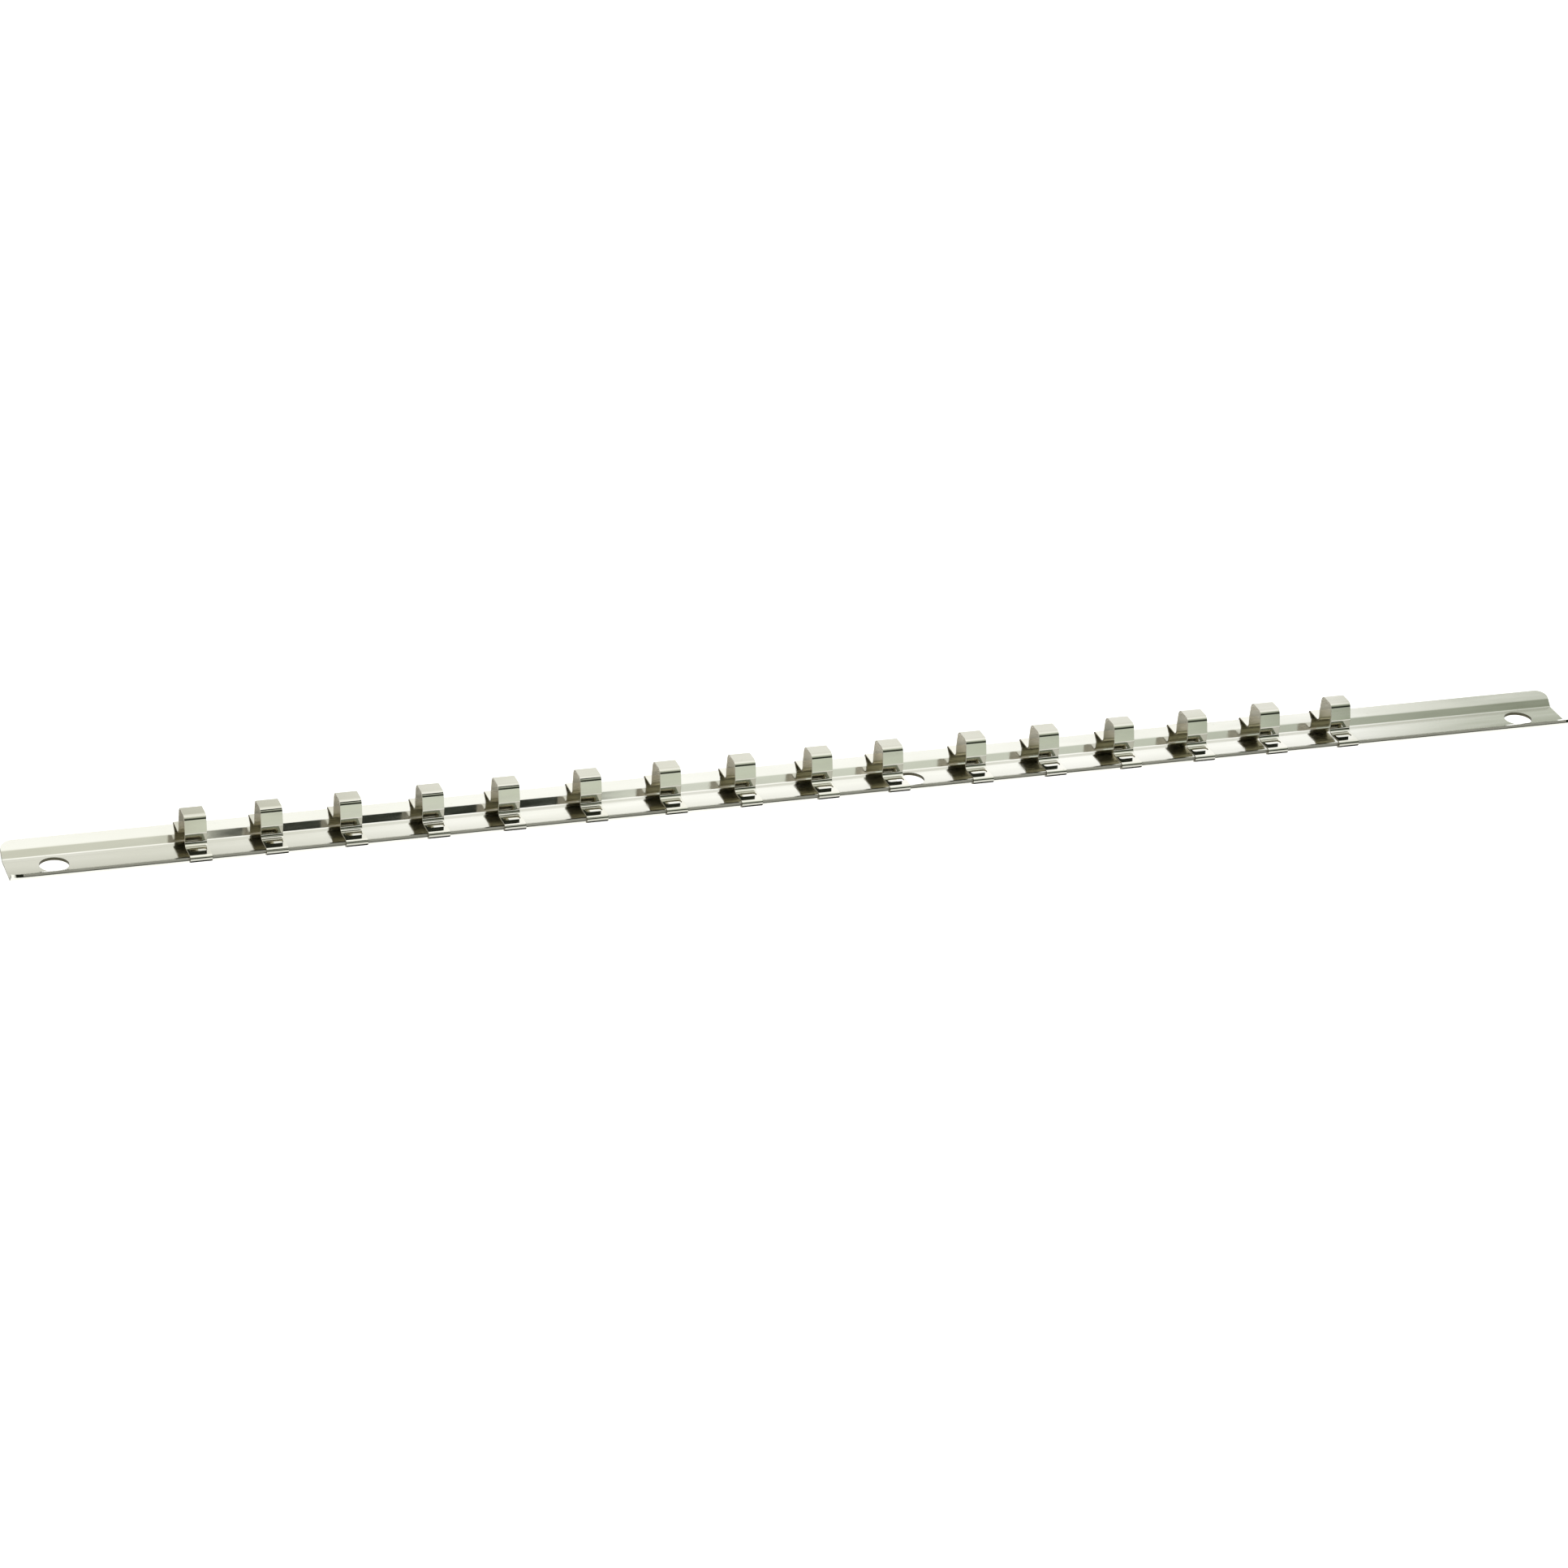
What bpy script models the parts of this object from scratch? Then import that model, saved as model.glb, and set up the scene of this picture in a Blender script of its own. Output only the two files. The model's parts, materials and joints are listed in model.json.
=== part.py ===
"""Socket rail: a pressed steel rail with sixteen sliding spring clips.

The rail lies along X with its floor on z = 0, the same on +Y and -Y. Each
clip is one bent spring strip that hooks round both long lips of the rail, so
that it slides along X and stays where it is pushed. A socket is pushed over
the clip's raised head, whose bulged sides grip the socket's square drive.
"""
import bpy
import bmesh
from math import atan2, cos, pi, radians, sin, tan
from mathutils import Vector

# Rail
rail_length = 0.4826
sheet_thickness = 0.00095
floor_half_width = 0.0055
wall_angle = radians(45)
wall_height = 0.0023
lip_angle = radians(22.5)
lip_rise = 0.0012
floor_bend_radius = 0.0007
fold_bend_radius = 0.0013
bend_steps = 4

# Slanting cut across each end of the lips
corner_cut_length = 0.0040

# Mounting holes in the floor
hole_diameter = 0.0085
hole_end_distance = 0.0137
middle_hole_share = 0.5588
hole_sides = 40

# Spring strip of the clips
strip_width = 0.00635
strip_thickness = 0.00045
clip_gap = 0.0003
foot_gap = 0.00035
foot_dip = 0.0004
hook_reach = 0.0014
foot_bend_radius = 0.0015
edge_bend_radius = 0.0008
hook_bend_radius = 0.0005
strip_bend_steps = 4

# Head of the clips, measured over the outside of the strip
head_height = 0.0084
head_top_width = 0.0063
head_bulge_width = 0.0088
head_bulge_height = 0.0035
head_foot_width = 0.0082
top_bend_radius = 0.0010
bulge_radius = 0.0009

# Slot with round corners in each foot of a clip
slot_length = 0.0049
slot_width = 0.0030
slot_distance = 0.0052
slot_corner_radius = 0.0009
slot_corner_steps = 4

# How far each clip stands from the left end, as shares of the rail's length
clip_place_shares = (
    0.1104, 0.1559, 0.2038, 0.2538, 0.3005, 0.3514, 0.4013, 0.4487,
    0.4978, 0.5435, 0.5977, 0.6457, 0.6956, 0.7447, 0.7939, 0.8422,
)

cut_overrun = 0.0010
sharp_angle = radians(35)

# Finishes
rail_colour = (0.72, 0.71, 0.67)
rail_roughness = 0.16
clip_colour = (0.66, 0.66, 0.60)
clip_roughness = 0.20

# Heights and places that follow from the sizes above
half_length = rail_length / 2
floor_top = sheet_thickness
fold_y = floor_half_width + wall_height / tan(wall_angle)
fold_z = floor_top + wall_height
tip_y = fold_y + lip_rise / tan(lip_angle)
tip_z = fold_z + lip_rise
edge_y = tip_y + sheet_thickness * sin(lip_angle)
edge_z = tip_z - sheet_thickness * cos(lip_angle)
strip_half = strip_thickness / 2
strip_offset = clip_gap + strip_half
clip_y = edge_y + strip_offset
foot_z = tip_z + foot_gap + strip_half
slot_y = slot_distance + slot_width / 2


def clear_scene():
    for old_object in list(bpy.data.objects):
        bpy.data.objects.remove(old_object, do_unlink=True)


def make_collection(name):
    collection = bpy.data.collections.new(name)
    bpy.context.scene.collection.children.link(collection)
    return collection


def make_material(name, colour, roughness):
    material = bpy.data.materials.new(name)
    material.use_nodes = True
    shader = material.node_tree.nodes["Principled BSDF"]
    shader.inputs["Base Color"].default_value = (*colour, 1)
    shader.inputs["Metallic"].default_value = 1
    shader.inputs["Roughness"].default_value = roughness
    return material


def round_corners(points, radii, steps):
    """Return a Y-Z outline whose inner corners are arcs of the given radii."""
    outline = [Vector(points[0])]
    for before, corner, after, radius in zip(points, points[1:], points[2:], radii):
        corner = Vector(corner)
        back = (Vector(before) - corner).normalized()
        ahead = (Vector(after) - corner).normalized()
        half_angle = back.angle(ahead) / 2
        centre = corner + (back + ahead).normalized() * radius / sin(half_angle)
        start = corner + back * radius / tan(half_angle) - centre
        end = corner + ahead * radius / tan(half_angle) - centre
        first = atan2(start.y, start.x)
        turn = (atan2(end.y, end.x) - first + pi) % (2 * pi) - pi
        for step in range(steps + 1):
            angle = first + turn * step / steps
            outline.append(centre + radius * Vector((cos(angle), sin(angle))))
    outline.append(Vector(points[-1]))
    return outline


def mirror_half(half):
    """Continue a half outline from the +Y side to the -Y side."""
    return half + [(-y, z) for y, z in reversed(half)]


def draw_strip(mesh_name, outline, length):
    """Draw a Y-Z outline as edges and extrude them along X."""
    bm = bmesh.new()
    row = [bm.verts.new((-length / 2, point.x, point.y)) for point in outline]
    edges = [bm.edges.new(pair) for pair in zip(row, row[1:])]
    made = bmesh.ops.extrude_edge_only(bm, edges=edges)["geom"]
    far_row = [item for item in made if isinstance(item, bmesh.types.BMVert)]
    bmesh.ops.translate(bm, verts=far_row, vec=(length, 0, 0))
    mesh = bpy.data.meshes.new(mesh_name)
    bm.to_mesh(mesh)
    bm.free()
    return mesh


def add_object(name, mesh, collection, material):
    part = bpy.data.objects.new(name, mesh)
    collection.objects.link(part)
    mesh.materials.append(material)
    return part


def add_thickness(part, thickness, offset):
    shell = part.modifiers.new("Sheet thickness", "SOLIDIFY")
    shell.thickness = thickness
    shell.offset = offset
    shell.use_even_offset = True
    shell.use_quality_normals = True


def add_cut(part, cutter):
    cut = part.modifiers.new("Cut " + cutter.name, "BOOLEAN")
    cut.operation = "DIFFERENCE"
    cut.solver = "EXACT"
    cut.object = cutter


def hide_cutter(cutter, collection):
    for home in list(cutter.users_collection):
        home.objects.unlink(cutter)
    collection.objects.link(cutter)
    cutter.hide_render = True
    cutter.display_type = "WIRE"


def shade_bends(mesh):
    mesh.shade_smooth()
    mesh.set_sharp_from_angle(angle=sharp_angle)


def trim_corners(mesh):
    """Pull the ends of the lips in along a slanting line from the fold."""
    slant = corner_cut_length / (tip_y - fold_y)
    for vert in mesh.vertices:
        past = abs(vert.co.y) - fold_y
        if past > 0:
            vert.co.x *= 1 - past * slant / half_length


def make_rail(collection, cutters, material):
    half = [(tip_y, tip_z), (fold_y, fold_z), (floor_half_width, floor_top)]
    radii = [fold_bend_radius, floor_bend_radius]
    outline = round_corners(mirror_half(half), radii + radii[::-1], bend_steps)
    mesh = draw_strip("rail", outline, rail_length)
    trim_corners(mesh)
    shade_bends(mesh)
    rail = add_object("rail", mesh, collection, material)
    add_thickness(rail, sheet_thickness, 1)
    end_x = half_length - hole_end_distance
    middle_x = rail_length * middle_hole_share - half_length
    for number, x in enumerate((-end_x, middle_x, end_x), 1):
        bpy.ops.mesh.primitive_cylinder_add(
            vertices=hole_sides,
            radius=hole_diameter / 2,
            depth=sheet_thickness + 2 * cut_overrun,
            location=(x, 0, floor_top / 2),
        )
        cutter = bpy.context.object
        cutter.name = f"hole_cutter_{number}"
        hide_cutter(cutter, cutters)
        add_cut(rail, cutter)
    return rail


def clip_outline():
    """Middle line of a clip's strip, from its back hook to its front hook."""
    slope = tan(lip_angle)
    hook_z = edge_z + (clip_y - edge_y) * slope - strip_offset / cos(lip_angle)
    half = [
        (clip_y - hook_reach, hook_z - hook_reach * slope),
        (clip_y, hook_z),
        (clip_y, foot_z),
        (head_foot_width / 2 - strip_half, foot_z - foot_dip),
        (head_bulge_width / 2 - strip_half, foot_z + head_bulge_height),
        (head_top_width / 2 - strip_half, foot_z + head_height),
    ]
    radii = [hook_bend_radius, edge_bend_radius, foot_bend_radius]
    radii += [bulge_radius, top_bend_radius]
    return round_corners(mirror_half(half), radii + radii[::-1], strip_bend_steps)


def make_slot_cutter(side, cutters):
    """Upright block with round corners that cuts the slot in one foot."""
    bm = bmesh.new()
    bmesh.ops.create_cube(bm, size=slot_length)
    height = 2 * cut_overrun
    flatten = (1, slot_width / slot_length, height / slot_length)
    bmesh.ops.scale(bm, vec=flatten, verts=bm.verts)
    upright = [edge for edge in bm.edges if edge.verts[0].co.xy == edge.verts[1].co.xy]
    bmesh.ops.bevel(
        bm,
        geom=upright,
        offset=slot_corner_radius,
        segments=slot_corner_steps,
        profile=0.5,
        affect="EDGES",
    )
    bmesh.ops.translate(bm, verts=bm.verts, vec=(0, side * slot_y, foot_z))
    mesh = bpy.data.meshes.new("slot_cutter")
    bm.to_mesh(mesh)
    bm.free()
    name = "slot_cutter_back" if side > 0 else "slot_cutter_front"
    cutter = bpy.data.objects.new(name, mesh)
    cutters.objects.link(cutter)
    hide_cutter(cutter, cutters)
    return cutter


def make_clip_mesh(collection, cutters, material):
    """Model one clip at the middle of the rail and return its mesh."""
    mesh = draw_strip("clip_strip", clip_outline(), strip_width)
    shade_bends(mesh)
    pattern = add_object("clip_pattern", mesh, collection, material)
    add_thickness(pattern, strip_thickness, 0)
    for side in (-1, 1):
        add_cut(pattern, make_slot_cutter(side, cutters))
    bpy.context.view_layer.update()
    graph = bpy.context.evaluated_depsgraph_get()
    clip_mesh = bpy.data.meshes.new_from_object(pattern.evaluated_get(graph))
    clip_mesh.name = "clip"
    bpy.data.objects.remove(pattern, do_unlink=True)
    return clip_mesh


def make_clips(collection, cutters, material):
    clip_mesh = make_clip_mesh(collection, cutters, material)
    for number, share in enumerate(clip_place_shares, 1):
        clip = bpy.data.objects.new(f"clip_{number:02d}", clip_mesh)
        collection.objects.link(clip)
        clip.location.x = rail_length * share - half_length


def main():
    clear_scene()
    parts = make_collection("socket_rail")
    cutters = make_collection("cutters")
    plated_rail = make_material("plated rail steel", rail_colour, rail_roughness)
    plated_clip = make_material("plated spring steel", clip_colour, clip_roughness)
    make_rail(parts, cutters, plated_rail)
    make_clips(parts, cutters, plated_clip)


main()
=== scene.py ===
import bpy
import bmesh
import json
from math import cos, radians, sin, tan
from mathutils import Matrix, Vector

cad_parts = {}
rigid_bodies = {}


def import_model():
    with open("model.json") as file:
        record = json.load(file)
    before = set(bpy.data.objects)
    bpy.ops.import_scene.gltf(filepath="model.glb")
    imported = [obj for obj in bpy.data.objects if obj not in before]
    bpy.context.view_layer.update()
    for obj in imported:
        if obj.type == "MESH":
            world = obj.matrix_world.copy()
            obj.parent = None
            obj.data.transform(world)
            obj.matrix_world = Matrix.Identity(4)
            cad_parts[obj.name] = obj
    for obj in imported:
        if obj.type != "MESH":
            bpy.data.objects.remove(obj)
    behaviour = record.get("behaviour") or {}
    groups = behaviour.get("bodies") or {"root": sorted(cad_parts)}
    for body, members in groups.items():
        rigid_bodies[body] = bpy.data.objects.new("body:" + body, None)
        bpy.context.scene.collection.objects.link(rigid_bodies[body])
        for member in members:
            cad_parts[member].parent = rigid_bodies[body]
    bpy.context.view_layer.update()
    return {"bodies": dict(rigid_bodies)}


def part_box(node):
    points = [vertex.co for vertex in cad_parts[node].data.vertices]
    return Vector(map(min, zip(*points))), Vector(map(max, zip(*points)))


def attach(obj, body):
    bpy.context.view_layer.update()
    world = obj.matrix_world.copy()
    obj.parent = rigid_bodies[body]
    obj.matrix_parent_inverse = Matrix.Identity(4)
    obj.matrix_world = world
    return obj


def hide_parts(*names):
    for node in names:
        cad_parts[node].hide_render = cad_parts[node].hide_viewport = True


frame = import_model()

# Camera: direction, distance and the point it looks past, matched to the photograph
cameraSet = {
    "turn": radians(20.03),
    "height": radians(26.34),
    "roll": radians(3.52),
    "distance": 1.52332,
    "sideways": 0.010439,
    "upwards": -0.002005,
    "lens": 118.73,
    "sensor": 36,
    "nearest": 0.05,
    "farthest": 20,
}


def makeCamera(c):
    level = Vector((sin(c["turn"]), cos(c["turn"]), 0))
    ahead = level * cos(c["height"]) - Vector((0, 0, sin(c["height"])))
    right = Vector((cos(c["turn"]), -sin(c["turn"]), 0))
    up = right.cross(ahead)
    rolledRight = right * cos(c["roll"]) + up * sin(c["roll"])
    rolledUp = up * cos(c["roll"]) - right * sin(c["roll"])
    place = -ahead * c["distance"] - rolledRight * c["sideways"] - rolledUp * c["upwards"]
    data = bpy.data.cameras.new("photoCamera")
    data.lens = c["lens"]
    data.sensor_width = c["sensor"]
    data.clip_start = c["nearest"]
    data.clip_end = c["farthest"]
    cam = bpy.data.objects.new("photoCamera", data)
    turned = Matrix((rolledRight, rolledUp, -ahead)).transposed().to_4x4()
    cam.matrix_world = Matrix.Translation(place) @ turned
    bpy.context.scene.collection.objects.link(cam)
    bpy.context.scene.camera = cam
    return place


cameraPlace = makeCamera(cameraSet)
print("camera ready")

# Room: a bright tent with a dark strip low in front, which draws the black lines in the bends.
# frontToBack runs from the front horizon over the top to the back one. Each leftToRight ramp
# begins and is full at the two shares of that way that stand before it.
roomSet = {
    "strength": 1.46,
    "paper": (1, 1, 0.99, 1),
    "frontToBack": [
        (0.000, (0.64, 0.67, 0.60)),
        (0.0155, (0.60, 0.63, 0.56)),
        (0.0215, (0.026, 0.029, 0.022)),
        (0.194, (0.026, 0.029, 0.022)),
        (0.202, (0.25, 0.27, 0.22)),
        (0.240, (0.30, 0.32, 0.27)),
        (0.262, (0.40, 0.42, 0.37)),
        (0.345, (0.70, 0.71, 0.66)),
        (0.415, (1.0, 1.0, 0.98)),
        (0.860, (1.0, 1.0, 0.99)),
        (1.000, (0.84, 0.85, 0.81)),
    ],
    "leftToRight": [
        (-1.0, 0.0, [
            (0.00, (0.92, 0.91, 0.88)),
            (0.60, (1.0, 1.0, 0.98)),
            (0.704, (1.0, 1.0, 1.0)),
            (0.716, (0.52, 0.54, 0.49)),
            (1.00, (0.48, 0.50, 0.45)),
        ]),
        (0.44, 0.36, [
            (0.00, (0.78, 0.77, 0.71)),
            (0.585, (0.84, 0.83, 0.78)),
            (0.605, (1.0, 1.0, 0.99)),
            (0.650, (0.92, 0.94, 0.91)),
            (0.690, (0.78, 0.81, 0.76)),
            (0.704, (0.58, 0.61, 0.56)),
            (0.716, (0.65, 0.67, 0.61)),
            (1.00, (0.56, 0.58, 0.52)),
        ]),
        (0.66, 0.80, [
            (0.00, (0.68, 0.67, 0.63)),
            (0.597, (0.70, 0.70, 0.66)),
            (0.630, (1.0, 1.0, 0.99)),
            (0.704, (1.0, 1.0, 1.0)),
            (0.716, (0.88, 0.89, 0.85)),
        ]),
    ],
}


def fillRamp(ramp, stops):
    while len(ramp.elements) > 1:
        ramp.elements.remove(ramp.elements[-1])
    ramp.elements[0].position = stops[0][0]
    ramp.elements[0].color = (*stops[0][1], 1)
    for place, colour in stops[1:]:
        ramp.elements.new(place).color = (*colour, 1)


def makeRoom(r):
    world = bpy.data.worlds.new("lightTent")
    bpy.context.scene.world = world
    world.use_nodes = True
    nodes, links = world.node_tree.nodes, world.node_tree.links
    nodes.clear()
    coord = nodes.new("ShaderNodeTexCoord")
    split = nodes.new("ShaderNodeSeparateXYZ")
    links.new(coord.outputs["Generated"], split.inputs[0])
    toFront = nodes.new("ShaderNodeMath")
    toFront.operation = "MULTIPLY"
    toFront.inputs[1].default_value = -1
    links.new(split.outputs["Y"], toFront.inputs[0])
    angle = nodes.new("ShaderNodeMath")
    angle.operation = "ARCTAN2"
    links.new(split.outputs["Z"], angle.inputs[0])
    links.new(toFront.outputs[0], angle.inputs[1])
    share = nodes.new("ShaderNodeMath")
    share.operation = "DIVIDE"
    share.inputs[1].default_value = radians(180)
    links.new(angle.outputs[0], share.inputs[0])
    frontRamp = nodes.new("ShaderNodeValToRGB")
    fillRamp(frontRamp.color_ramp, r["frontToBack"])
    links.new(share.outputs[0], frontRamp.inputs[0])
    across = nodes.new("ShaderNodeMath")
    across.operation = "MULTIPLY_ADD"
    across.inputs[1].default_value = 0.5
    across.inputs[2].default_value = 0.5
    links.new(split.outputs["X"], across.inputs[0])
    light = frontRamp.outputs[0]
    for start, full, stops in r["leftToRight"]:
        sideRamp = nodes.new("ShaderNodeValToRGB")
        fillRamp(sideRamp.color_ramp, stops)
        links.new(across.outputs[0], sideRamp.inputs[0])
        reach = nodes.new("ShaderNodeMapRange")
        reach.inputs["From Min"].default_value = start
        reach.inputs["From Max"].default_value = full
        links.new(share.outputs[0], reach.inputs["Value"])
        both = nodes.new("ShaderNodeMix")
        both.data_type = "RGBA"
        both.blend_type = "MULTIPLY"
        links.new(reach.outputs[0], both.inputs["Factor"])
        links.new(light, both.inputs["A"])
        links.new(sideRamp.outputs[0], both.inputs["B"])
        light = both.outputs["Result"]
    tent = nodes.new("ShaderNodeBackground")
    tent.inputs["Strength"].default_value = r["strength"]
    links.new(light, tent.inputs["Color"])
    paper = nodes.new("ShaderNodeBackground")
    paper.inputs["Color"].default_value = r["paper"]
    seen = nodes.new("ShaderNodeLightPath")
    pick = nodes.new("ShaderNodeMixShader")
    links.new(seen.outputs["Is Camera Ray"], pick.inputs[0])
    links.new(tent.outputs[0], pick.inputs[1])
    links.new(paper.outputs[0], pick.inputs[2])
    out = nodes.new("ShaderNodeOutputWorld")
    links.new(pick.outputs[0], out.inputs["Surface"])


makeRoom(roomSet)
bpy.context.scene.view_settings.view_transform = "Standard"

# Floor: white paper, with bands of painted shade beside the rail and painted light under it, that only
# reflections show
floorSet = {
    "size": 8.0,
    "below": 0.0002,
    "colour": (0.45, 0.45, 0.44, 1),
    "rough": 0.9,
    "glowColour": (1, 1, 0.99, 1),
    "glow": 1.0,
    "mirroredGlow": 0.64,
    "shadeColour": (0.02, 0.02, 0.018, 1),
    "shadeHalfLength": 0.243,
    "shadeMiddle": 0.0125,
    "shadeHalfWidth": 0.0041,
    "shadeSoftness": 0.0012,
    # Painted light under the rail, seen in reflections
    "underGlow": 1.5,
}


def floorPaper(f):
    mat = bpy.data.materials.new("whitePaper")
    mat.use_nodes = True
    nodes, links = mat.node_tree.nodes, mat.node_tree.links
    shader = nodes["Principled BSDF"]
    shader.inputs["Base Color"].default_value = f["colour"]
    shader.inputs["Roughness"].default_value = f["rough"]
    shader.inputs["Emission Color"].default_value = f["glowColour"]
    coord = nodes.new("ShaderNodeTexCoord")
    split = nodes.new("ShaderNodeSeparateXYZ")
    links.new(coord.outputs["Object"], split.inputs[0])
    # Painted shade: a dark band along each side of the rail, which the clips' hooks reflect
    shades = []
    bands = (("X", 0, f["shadeHalfLength"]), ("Y", f["shadeMiddle"], f["shadeHalfWidth"]))
    for axis, middle, half in bands:
        fromMiddle = nodes.new("ShaderNodeMath")
        fromMiddle.operation = "ABSOLUTE"
        links.new(split.outputs[axis], fromMiddle.inputs[0])
        less = nodes.new("ShaderNodeMath")
        less.operation = "SUBTRACT"
        less.inputs[1].default_value = middle
        links.new(fromMiddle.outputs[0], less.inputs[0])
        size = nodes.new("ShaderNodeMath")
        size.operation = "ABSOLUTE"
        links.new(less.outputs[0], size.inputs[0])
        past = nodes.new("ShaderNodeMapRange")
        past.inputs["From Min"].default_value = half
        past.inputs["From Max"].default_value = half + f["shadeSoftness"]
        links.new(size.outputs[0], past.inputs["Value"])
        shades.append(past)
    clear = nodes.new("ShaderNodeMath")
    clear.operation = "MAXIMUM"
    links.new(shades[0].outputs[0], clear.inputs[0])
    links.new(shades[1].outputs[0], clear.inputs[1])
    # Painted light: a stronger glow under the rail, which its outer walls reflect
    under = nodes.new("ShaderNodeMapRange")
    under.inputs["From Min"].default_value = f["shadeMiddle"] - f["shadeHalfWidth"] - f["shadeSoftness"]
    under.inputs["From Max"].default_value = f["shadeMiddle"]
    under.inputs["To Min"].default_value = f["underGlow"]
    under.inputs["To Max"].default_value = f["mirroredGlow"]
    links.new(fromMiddle.outputs[0], under.inputs["Value"])
    mirrored = nodes.new("ShaderNodeMath")
    mirrored.operation = "MULTIPLY"
    links.new(clear.outputs[0], mirrored.inputs[0])
    links.new(under.outputs[0], mirrored.inputs[1])
    seen = nodes.new("ShaderNodeLightPath")
    glow = nodes.new("ShaderNodeMix")
    glow.inputs["B"].default_value = f["glow"]
    links.new(seen.outputs["Is Camera Ray"], glow.inputs["Factor"])
    links.new(mirrored.outputs[0], glow.inputs["A"])
    links.new(glow.outputs["Result"], shader.inputs["Emission Strength"])
    tone = nodes.new("ShaderNodeMix")
    tone.data_type = "RGBA"
    tone.inputs["A"].default_value = f["shadeColour"]
    tone.inputs["B"].default_value = f["colour"]
    links.new(clear.outputs[0], tone.inputs["Factor"])
    links.new(tone.outputs["Result"], shader.inputs["Base Color"])
    return mat


def makeFloor(f):
    bm = bmesh.new()
    bmesh.ops.create_grid(bm, x_segments=4, y_segments=4, size=f["size"] / 2)
    bmesh.ops.translate(bm, verts=bm.verts, vec=(0, 0, -f["below"]))
    mesh = bpy.data.meshes.new("paperFloor")
    bm.to_mesh(mesh)
    bm.free()
    floor = bpy.data.objects.new("paperFloor", mesh)
    bpy.context.scene.collection.objects.link(floor)
    mesh.materials.append(floorPaper(f))


makeFloor(floorSet)

# Dark green card overhead, mirrored in the far wall of the channel left of the middle
cardSet = {
    "fromX": -0.182,
    "toX": -0.068,
    "wallLean": radians(45),
    "spread": radians(4.5),
    "away": 0.45,
    "seenY": 0.0066,
    "seenZ": 0.0020,
    "colour": (0.012, 0.017, 0.009, 1),
    "rough": 0.9,
}


def makeCard(c):
    bm = bmesh.new()
    corners = []
    around = ((c["fromX"], -1), (c["toX"], -1), (c["toX"], 1), (c["fromX"], 1))
    for x, side in around:
        lean = c["wallLean"] + side * c["spread"]
        mirror = Vector((0, -sin(lean), cos(lean)))
        seenPoint = Vector((x, c["seenY"], c["seenZ"]))
        sight = (seenPoint - cameraPlace).normalized()
        corners.append(bm.verts.new(seenPoint + sight.reflect(mirror) * c["away"]))
    bm.faces.new(corners)
    mesh = bpy.data.meshes.new("greenCard")
    bm.to_mesh(mesh)
    bm.free()
    card = bpy.data.objects.new("greenCard", mesh)
    bpy.context.scene.collection.objects.link(card)
    card.visible_camera = False
    card.visible_diffuse = False
    card.visible_shadow = False
    mat = bpy.data.materials.new("greenCard")
    mat.use_nodes = True
    shader = mat.node_tree.nodes["Principled BSDF"]
    shader.inputs["Base Color"].default_value = c["colour"]
    shader.inputs["Roughness"].default_value = c["rough"]
    mesh.materials.append(mat)


makeCard(cardSet)
print("room and floor ready")


# Materials are worked out from a point's place on the object, in metres
class NodeSheet:
    def __init__(self, name):
        self.mat = bpy.data.materials.new(name)
        self.mat.use_nodes = True
        self.nodes = self.mat.node_tree.nodes
        self.links = self.mat.node_tree.links
        self.shader = self.nodes["Principled BSDF"]
        self.coord = self.nodes.new("ShaderNodeTexCoord").outputs["Object"]

    def noise(self, scale, detail, stretch=(1, 1, 1)):
        place = self.nodes.new("ShaderNodeMapping")
        place.inputs["Scale"].default_value = stretch
        self.links.new(self.coord, place.inputs["Vector"])
        tex = self.nodes.new("ShaderNodeTexNoise")
        tex.inputs["Scale"].default_value = scale
        tex.inputs["Detail"].default_value = detail
        self.links.new(place.outputs[0], tex.inputs["Vector"])
        return tex.outputs["Fac"]

    def ramp(self, value, stops):
        node = self.nodes.new("ShaderNodeValToRGB")
        fillRamp(node.color_ramp, stops)
        self.links.new(value, node.inputs[0])
        return node.outputs[0]

    def span(self, value, low, high, toLow, toHigh):
        node = self.nodes.new("ShaderNodeMapRange")
        ends = {"From Min": low, "From Max": high, "To Min": toLow, "To Max": toHigh}
        for socket, number in ends.items():
            node.inputs[socket].default_value = number
        self.links.new(value, node.inputs["Value"])
        return node.outputs[0]

    def blend(self, share, first, second, how="MIX"):
        node = self.nodes.new("ShaderNodeMix")
        node.data_type = "RGBA"
        node.blend_type = how
        for name, item in (("Factor", share), ("A", first), ("B", second)):
            socket = node.inputs[name]
            if isinstance(item, (float, int)):
                socket.default_value = item
            elif isinstance(item, tuple):
                socket.default_value = (*item, 1)
            else:
                self.links.new(item, socket)
        return node.outputs["Result"]

    def join(self, how, first, second):
        node = self.nodes.new("ShaderNodeMath")
        node.operation = how
        node.use_clamp = True
        for socket, item in zip(node.inputs, (first, second)):
            if isinstance(item, (float, int)):
                socket.default_value = item
            else:
                self.links.new(item, socket)
        return node.outputs[0]

    def bump(self, height, strength, distance, under=None):
        node = self.nodes.new("ShaderNodeBump")
        node.inputs["Strength"].default_value = strength
        node.inputs["Distance"].default_value = distance
        self.links.new(height, node.inputs["Height"])
        if under:
            self.links.new(under, node.inputs["Normal"])
        return node.outputs[0]

    def wire(self, socket, value):
        self.links.new(value, self.shader.inputs[socket])


# Marks in the plating that the rail and the clips share
marks = {
    "cloudScale": 60,
    "cloudStretch": (0.35, 1, 1),
    "cloudDepth": 0.0006,
    "deepAt": 0.30,
    "colourAt": 0.55,
    "paleAt": 0.75,
    "grainScale": 900,
    "grainStretch": (0.03, 1, 1),
    "grainDepth": 0.00002,
    "speckScale": 1400,
    "speckFrom": 0.74,
    "speckTo": 0.80,
    "speckShare": 0.55,
    "speckBump": 0.08,
    "speckDepth": 0.00001,
    "rubScale": 420,
    "rubStretch": (0.12, 1, 1),
    "rubFrom": 0.35,
    "rubTo": 0.75,
}


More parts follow.
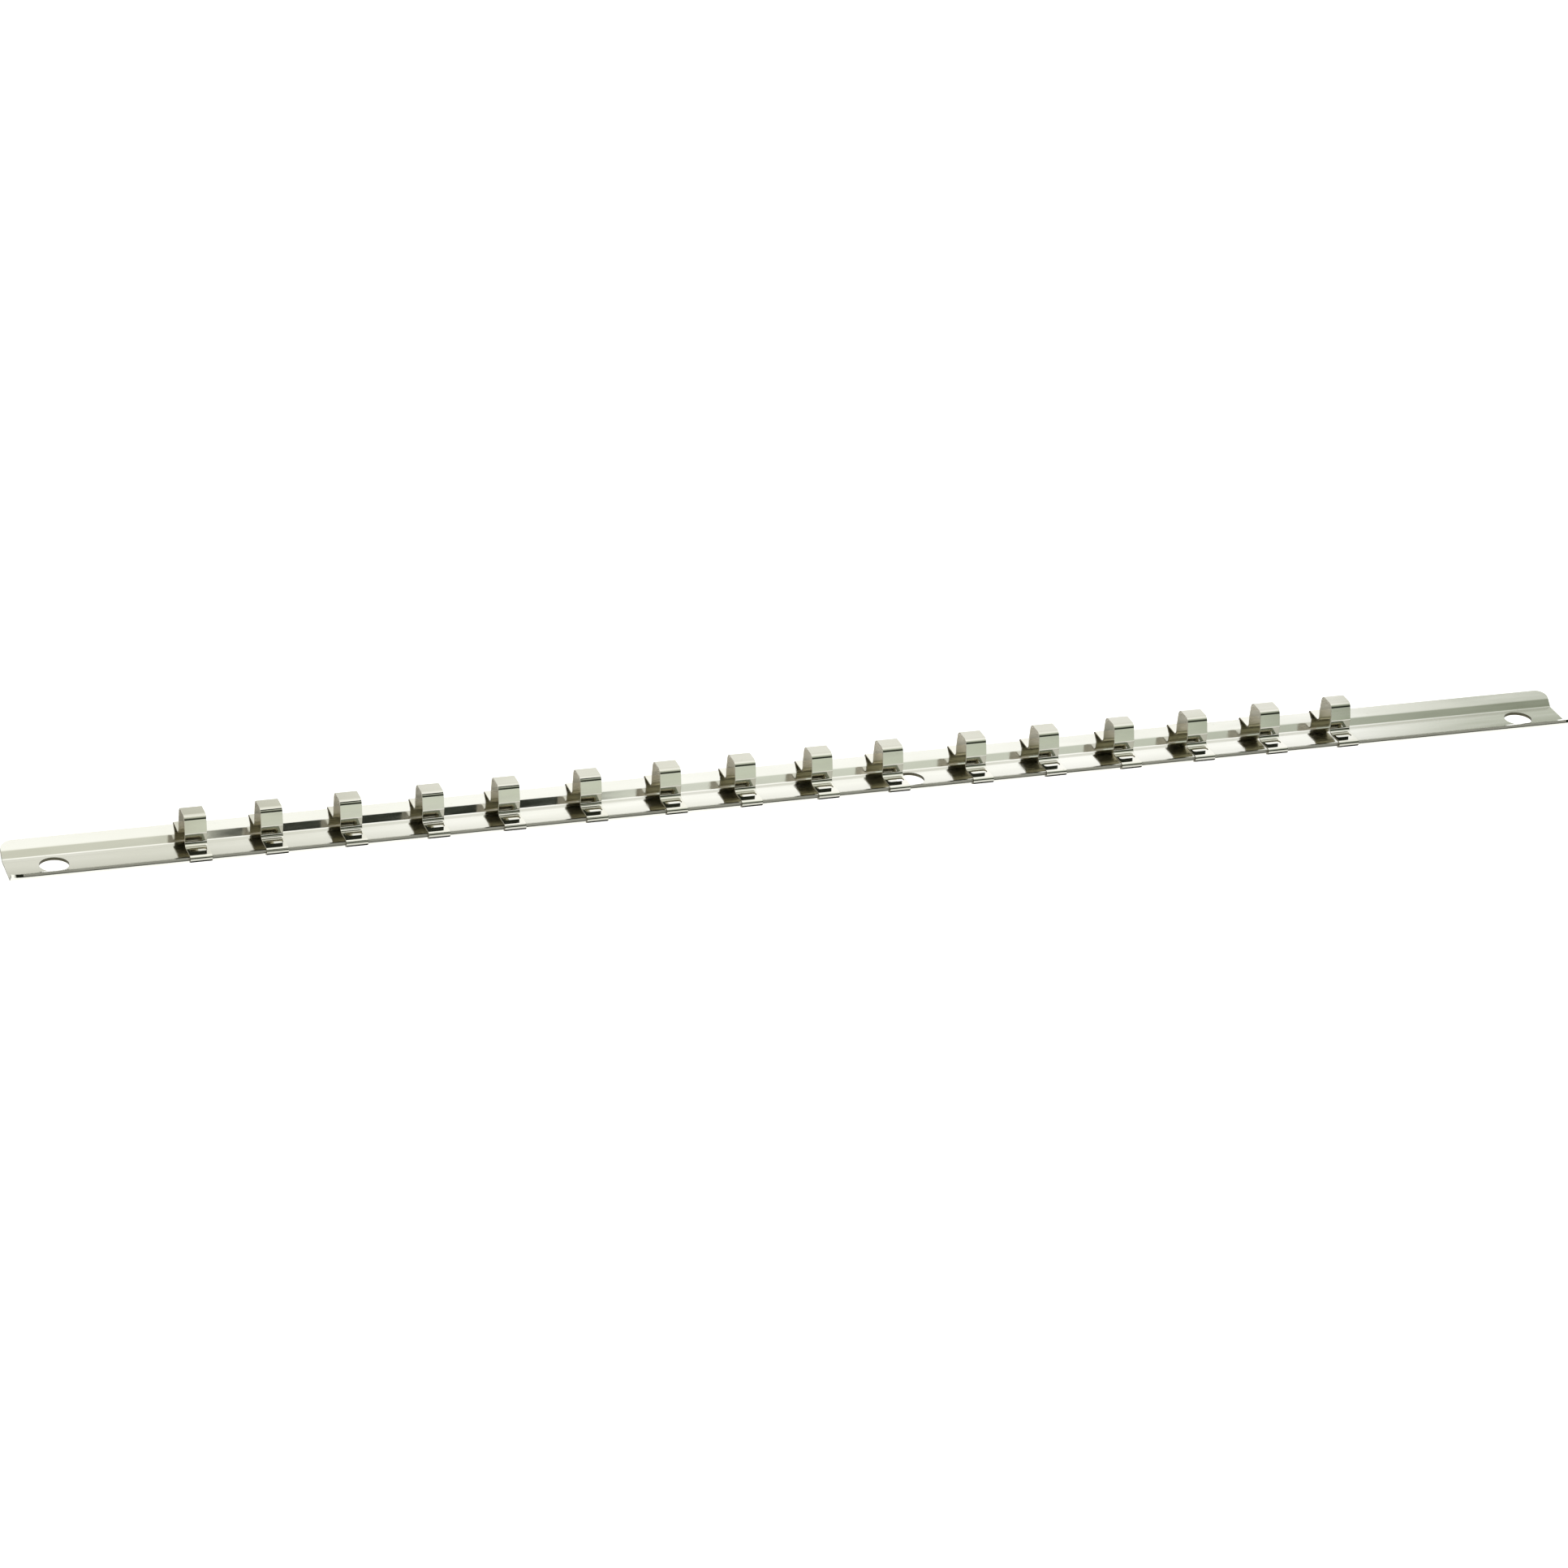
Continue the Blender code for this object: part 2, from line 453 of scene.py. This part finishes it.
# cutFace is 1 on a sheared face and 2 on the wall of a hole
def platedSteel(p, m):
    s = NodeSheet(p["name"])
    s.shader.inputs["Metallic"].default_value = p["metal"]
    cut = s.nodes.new("ShaderNodeAttribute")
    cut.attribute_name = "cutFace"
    cutFace = cut.outputs["Fac"]
    cloud = s.noise(m["cloudScale"], 4, m["cloudStretch"])
    grain = s.noise(m["grainScale"], 3, m["grainStretch"])
    speck = s.noise(m["speckScale"], 2)
    rub = s.noise(m["rubScale"], 5, m["rubStretch"])
    tones = [(m["deepAt"], p["deep"]), (m["colourAt"], p["colour"]), (m["paleAt"], p["pale"])]
    tone = s.ramp(cloud, tones)
    specks = s.span(speck, m["speckFrom"], m["speckTo"], 0.0, m["speckShare"])
    tone = s.blend(specks, tone, p["markAndHoleShade"])
    split = s.nodes.new("ShaderNodeSeparateXYZ")
    s.links.new(s.coord, split.inputs[0])
    # Painted shade: a darker front side, towards -Y
    across = s.span(split.outputs["Y"], p["frontShadeFrom"], p["frontShadeTo"], 1.0, 0.0)
    tone = s.blend(across, tone, p["frontShade"], "MULTIPLY")
    # Painted shade: darker low down, khaki on the inside of a clip
    up = s.span(split.outputs["Z"], p["lowFrom"], p["lowTo"], 1.0, 0.0)
    tone = s.blend(up, tone, p["low"], "MULTIPLY")
    # Painted shade: the top of a clip darker
    crown = s.span(split.outputs["Z"], p["crownFrom"], p["crownTo"], 0.0, 1.0)
    tone = s.blend(crown, tone, p["crown"], "MULTIPLY")
    # Cut faces take their sheared colour, with painted shade darkening them low down
    sheared = s.blend(up, p["sheared"], p["shearedLow"])
    tone = s.blend(cutFace, tone, sheared)
    # Painted shade: the walls of the holes darkened by the mark colour
    tone = s.blend(s.span(cutFace, 1.0, 2.0, 0.0, 1.0), tone, p["markAndHoleShade"], "MULTIPLY")
    s.wire("Base Color", tone)
    shine = s.span(rub, m["rubFrom"], m["rubTo"], p["shine"], p["shine"] + p["shineChange"])
    shine = s.join("ADD", shine, s.span(cutFace, 0.0, 1.0, 0.0, p["shearedDull"]))
    s.wire("Roughness", shine)
    ripple = s.bump(cloud, p["ripple"], m["cloudDepth"])
    lines = s.bump(grain, p["grain"], m["grainDepth"], ripple)
    s.wire("Normal", s.bump(speck, m["speckBump"], m["speckDepth"], lines))
    return s.mat


railFinish = {
    "name": "brightPlatedSheet",
    "metal": 1.0,
    "colour": (0.66, 0.66, 0.62),
    "deep": (0.63, 0.63, 0.58),
    "pale": (0.69, 0.685, 0.655),
    # Colour of marks, also painted shade in the walls of the holes
    "markAndHoleShade": (0.36, 0.34, 0.28),
    "sheared": (0.70, 0.69, 0.63),
    # Painted shade on the lower part of cut faces
    "shearedLow": (0.20, 0.20, 0.17),
    "shearedDull": 0.42,
    # Painted shade on the rail's front side
    "frontShade": (0.78, 0.78, 0.76),
    "frontShadeFrom": -0.0068,
    "frontShadeTo": 0.0010,
    "low": (1.0, 1.0, 1.0),
    "lowFrom": 0.00372,
    "lowTo": 0.00392,
    "crown": (1.0, 1.0, 1.0),
    "crownFrom": 0.0132,
    "crownTo": 0.0136,
    "shine": 0.07,
    "shineChange": 0.10,
    "ripple": 0.03,
    "grain": 0.20,
}
clipFinish = {
    "name": "brightPlatedSpring",
    "metal": 1.0,
    "colour": (0.64, 0.635, 0.58),
    "deep": (0.60, 0.595, 0.53),
    "pale": (0.67, 0.66, 0.62),
    "markAndHoleShade": (0.34, 0.32, 0.25),
    "sheared": (0.36, 0.34, 0.28),
    # Painted shade on the lower part of cut faces
    "shearedLow": (0.07, 0.055, 0.03),
    "shearedDull": 0.20,
    "frontShade": (1.0, 1.0, 1.0),
    "frontShadeFrom": -0.02,
    "frontShadeTo": -0.019,
    "low": (1.0, 1.0, 1.0),
    "lowFrom": 0.0052,
    "lowTo": 0.0066,
    # Painted shade on the top of the clip
    "crown": (0.77, 0.77, 0.745),
    "crownFrom": 0.0132,
    "crownTo": 0.0136,
    "shine": 0.05,
    "shineChange": 0.08,
    "ripple": 0.04,
    "grain": 0.12,
}
# The inside of a clip is duller than its outside, with khaki painted shade low down
insideFinish = dict(clipFinish)
insideFinish.update({
    "name": "dullPlatedInside",
    "metal": 0.66,
    "colour": (0.92, 0.875, 0.82),
    "deep": (0.84, 0.79, 0.72),
    # Painted shade, khaki, low down inside the clip
    "low": (0.62, 0.59, 0.42),
    "lowFrom": 0.0052,
    "lowTo": 0.0085,
    "crown": (1.0, 1.0, 1.0),
    "shine": 0.22,
})
platedSheet = platedSteel(railFinish, marks)
platedSpring = platedSteel(clipFinish, marks)
platedInside = platedSteel(insideFinish, marks)
print("materials ready")


# Sheet work: how finely bends, edges and holes are made
sheetWork = {
    "bendSteps": 12,
    "weld": 0.000001,
    "trim": 0.0000001,
    "rollSteps": 2,
    "rollAbove": radians(50),
    "sharpAbove": radians(40),
    "flatWeight": 90,
    "sheared": 0.985,
    "upright": 0.1,
    "holeSides": 96,
    "slotSteps": 8,
    "punchDepth": 0.0020,
    "shareOfHole": 0.52,
}


# A corner line is extruded along X and its creases are rounded
def bendSheet(name, corners, bends, width, middle):
    bm = bmesh.new()
    row = [bm.verts.new((middle - width / 2, y, z)) for y, z in corners]
    edges = [bm.edges.new(pair) for pair in zip(row, row[1:])]
    made = bmesh.ops.extrude_edge_only(bm, edges=edges)["geom"]
    farRow = [item for item in made if isinstance(item, bmesh.types.BMVert)]
    bmesh.ops.translate(bm, verts=farRow, vec=(width, 0, 0))
    creases = []
    for vert, bend in zip(row[1:-1], bends):
        crease = next(e for e in vert.link_edges if len(e.link_faces) == 2)
        creases.append((crease, bend))
    for crease, bend in creases:
        first, second = crease.link_faces
        bm.normal_update()
        turn = first.normal.angle(second.normal)
        bmesh.ops.bevel(
            bm, geom=[crease], offset=bend * tan(turn / 2), offset_type="OFFSET",
            segments=sheetWork["bendSteps"], profile=0.5, affect="EDGES", material=-1,
        )
    bmesh.ops.remove_doubles(bm, verts=bm.verts, dist=sheetWork["weld"])
    mesh = bpy.data.meshes.new(name)
    bm.to_mesh(mesh)
    bm.free()
    piece = bpy.data.objects.new(name, mesh)
    bpy.context.scene.collection.objects.link(piece)
    return piece


def giveThickness(piece, thickness, offset):
    shell = piece.modifiers.new("thickness", "SOLIDIFY")
    shell.thickness = thickness
    shell.offset = offset
    shell.use_even_offset = True
    shell.use_quality_normals = True


def punch(piece, cutter):
    cut = piece.modifiers.new("punch", "BOOLEAN")
    cut.operation = "DIFFERENCE"
    cut.solver = "EXACT"
    cut.object = cutter


def rollEdges(piece, width):
    roll = piece.modifiers.new("rolledEdges", "BEVEL")
    roll.width = width
    roll.segments = sheetWork["rollSteps"]
    roll.limit_method = "ANGLE"
    roll.angle_limit = sheetWork["rollAbove"]


def applyModifiers(piece):
    bpy.context.view_layer.update()
    graph = bpy.context.evaluated_depsgraph_get()
    mesh = bpy.data.meshes.new_from_object(piece.evaluated_get(graph))
    mesh.name = piece.name
    piece.modifiers.clear()
    piece.data = mesh


# The large faces set the normals, so that the rolled edges tilt no reflection
def bake(piece, cutters):
    applyModifiers(piece)
    piece.data.shade_smooth()
    piece.data.set_sharp_from_angle(angle=sheetWork["sharpAbove"])
    even = piece.modifiers.new("evenNormals", "WEIGHTED_NORMAL")
    even.weight = sheetWork["flatWeight"]
    even.keep_sharp = True
    applyModifiers(piece)
    for cutter in cutters:
        bpy.data.objects.remove(cutter, do_unlink=True)


def markCutFaces(piece, directions):
    cut = piece.data.attributes.new("cutFace", "FLOAT", "FACE")
    for face, value in zip(piece.data.polygons, cut.data):
        facing = max(abs(face.normal.dot(way)) for way in directions)
        value.value = float(facing > sheetWork["sheared"])


def markHoles(piece, places, radius):
    cut = piece.data.attributes["cutFace"]
    for face, value in zip(piece.data.polygons, cut.data):
        out = min((Vector((x, 0)) - face.center.xy).length for x in places)
        if abs(face.normal.z) < sheetWork["upright"] and out < radius:
            value.value = 2


def addCutter(bm, place):
    bmesh.ops.translate(bm, verts=bm.verts, vec=place)
    mesh = bpy.data.meshes.new("punch")
    bm.to_mesh(mesh)
    bm.free()
    cutter = bpy.data.objects.new("punch", mesh)
    bpy.context.scene.collection.objects.link(cutter)
    return cutter


def roundPunch(across, place, height):
    bm = bmesh.new()
    bmesh.ops.create_cone(
        bm, cap_ends=True, segments=sheetWork["holeSides"],
        radius1=across / 2, radius2=across / 2, depth=height,
    )
    return addCutter(bm, place)


def slotPunch(length, width, corner, place, height):
    bm = bmesh.new()
    bmesh.ops.create_cube(bm, size=length)
    bmesh.ops.scale(bm, vec=(1, width / length, height / length), verts=bm.verts)
    upright = [edge for edge in bm.edges if edge.verts[0].co.xy == edge.verts[1].co.xy]
    bmesh.ops.bevel(
        bm, geom=upright, offset=corner, offset_type="OFFSET",
        segments=sheetWork["slotSteps"], profile=0.5, affect="EDGES", material=-1,
    )
    return addCutter(bm, place)


# Rail: one sheet with a flat floor, two leaning walls and two lips
rail = {
    "length": 0.4826,
    "sheet": 0.00095,
    "floorHalf": 0.0055,
    "wallAngle": radians(45),
    "wallHeight": 0.0023,
    "lipAngle": radians(22.5),
    "lipRise": 0.0012,
    "floorBend": 0.0007,
    "foldBend": 0.0040,
    "cornerCut": 0.0040,
    "cornerSteps": 6,
    "holeAcross": 0.0085,
    "holeFromEnd": 0.0137,
    "middleHoleShare": 0.5588,
    "rolledEdge": 0.00012,
}
foldY = rail["floorHalf"] + rail["wallHeight"] / tan(rail["wallAngle"])
foldZ = rail["sheet"] + rail["wallHeight"]
tipY = foldY + rail["lipRise"] / tan(rail["lipAngle"])
tipZ = foldZ + rail["lipRise"]
edgeY = tipY + rail["sheet"] * sin(rail["lipAngle"])
edgeZ = tipZ - rail["sheet"] * cos(rail["lipAngle"])


# The ends of each lip are cut along a quarter of an ellipse, one plane for each step
def cutCorners(piece, r):
    half = r["length"] / 2
    lip = tipY - foldY
    turn = radians(90) / r["cornerSteps"]
    bm = bmesh.new()
    bm.from_mesh(piece.data)
    for sideX in (-1, 1):
        for sideY in (-1, 1):
            for step in range(r["cornerSteps"]):
                angle = turn * (step + 0.5)
                x = half - r["cornerCut"] * (1 - cos(angle))
                y = foldY + lip * sin(angle)
                outward = Vector((sideX * lip * cos(angle), sideY * r["cornerCut"] * sin(angle), 0))
                bmesh.ops.bisect_plane(
                    bm, geom=bm.verts[:] + bm.edges[:] + bm.faces[:], dist=sheetWork["trim"],
                    plane_co=(sideX * x, sideY * y, 0), plane_no=outward.normalized(), clear_outer=True,
                )
    bm.to_mesh(piece.data)
    bm.free()


def makeRail(r):
    corners = [(tipY, tipZ), (foldY, foldZ), (r["floorHalf"], r["sheet"])]
    corners += [(-y, z) for y, z in reversed(corners)]
    bends = [r["foldBend"], r["floorBend"], r["floorBend"], r["foldBend"]]
    piece = bendSheet("railSheet", corners, bends, r["length"], 0)
    cutCorners(piece, r)
    giveThickness(piece, r["sheet"], 1)
    cutters = []
    endHole = r["length"] / 2 - r["holeFromEnd"]
    holePlaces = (-endHole, r["length"] * (r["middleHoleShare"] - 0.5), endHole)
    for x in holePlaces:
        cutters.append(roundPunch(r["holeAcross"], (x, 0, r["sheet"] / 2), 2 * sheetWork["punchDepth"]))
        punch(piece, cutters[-1])
    rollEdges(piece, r["rolledEdge"])
    bake(piece, cutters)
    lean = r["lipAngle"]
    alongLips = [Vector((0, side * cos(lean), sin(lean))) for side in (-1, 1)]
    markCutFaces(piece, alongLips + [Vector((1, 0, 0))])
    markHoles(piece, holePlaces, r["holeAcross"] * sheetWork["shareOfHole"])
    piece.data.materials.clear()
    piece.data.materials.append(platedSheet)
    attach(piece, "rail")
    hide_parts("rail")


makeRail(rail)
print("rail ready")

# Clips: each is one strip, from the hook under the back lip over the head to the front hook
clip = {
    "width": 0.00635,
    "strip": 0.00047,
    "gap": 0.00011,
    "footGap": 0.00010,
    "footDip": 0.0002,
    "hookReach": 0.0014,
    "footBend": 0.0015,
    "edgeBend": 0.0008,
    "hookBend": 0.0006,
    "headHeight": 0.00862,
    "topWidth": 0.0063,
    "topBack": 0.0006,
    "bulgeWidth": 0.0088,
    "bulgeHeight": 0.00372,
    "footWidth": 0.0082,
    "topBend": 0.0015,
    "topBackBend": 0.0019,
    "bulgeBend": 0.0009,
    "slotLength": 0.0049,
    "slotWidth": 0.0021,
    "slotFrom": 0.0061,
    "slotCorner": 0.0008,
    "rolledEdge": 0.00006,
}


def makeClip(c, name):
    low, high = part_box(name)
    middle = (low.x + high.x) / 2
    halfStrip = c["strip"] / 2
    offset = c["gap"] + halfStrip
    clipY = edgeY + offset
    slope = tan(rail["lipAngle"])
    hookZ = edgeZ + offset * slope - offset / cos(rail["lipAngle"])
    footZ = tipZ + c["footGap"] + halfStrip
    corners = [
        (clipY - c["hookReach"], hookZ - c["hookReach"] * slope),
        (clipY, hookZ),
        (clipY, footZ),
        (c["footWidth"] / 2 - halfStrip, footZ - c["footDip"]),
        (c["bulgeWidth"] / 2 - halfStrip, footZ + c["bulgeHeight"]),
        (c["topWidth"] / 2 - halfStrip, footZ + c["headHeight"]),
    ]
    corners += [(-y, z) for y, z in reversed(corners)]
    backTop = corners[5]
    corners[5] = (backTop[0] + c["topBack"], backTop[1])
    bends = [c["hookBend"], c["edgeBend"], c["footBend"], c["bulgeBend"]]
    bends += [c["topBackBend"], c["topBend"]] + bends[::-1]
    piece = bendSheet(name + "_strip", corners, bends, c["width"], middle)
    giveThickness(piece, c["strip"], 0)
    piece.modifiers["thickness"].material_offset = 1
    piece.data.materials.append(platedInside)
    piece.data.materials.append(platedSpring)
    place = (middle, -c["slotFrom"] - c["slotWidth"] / 2, footZ)
    slot = slotPunch(c["slotLength"], c["slotWidth"], c["slotCorner"], place, sheetWork["punchDepth"])
    punch(piece, slot)
    rollEdges(piece, c["rolledEdge"])
    bake(piece, [slot])
    markCutFaces(piece, [Vector((1, 0, 0))])
    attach(piece, name)
    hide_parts(name)


for body in sorted(frame["bodies"]):
    if body.startswith("clip"):
        makeClip(clip, body)
print("clips ready")
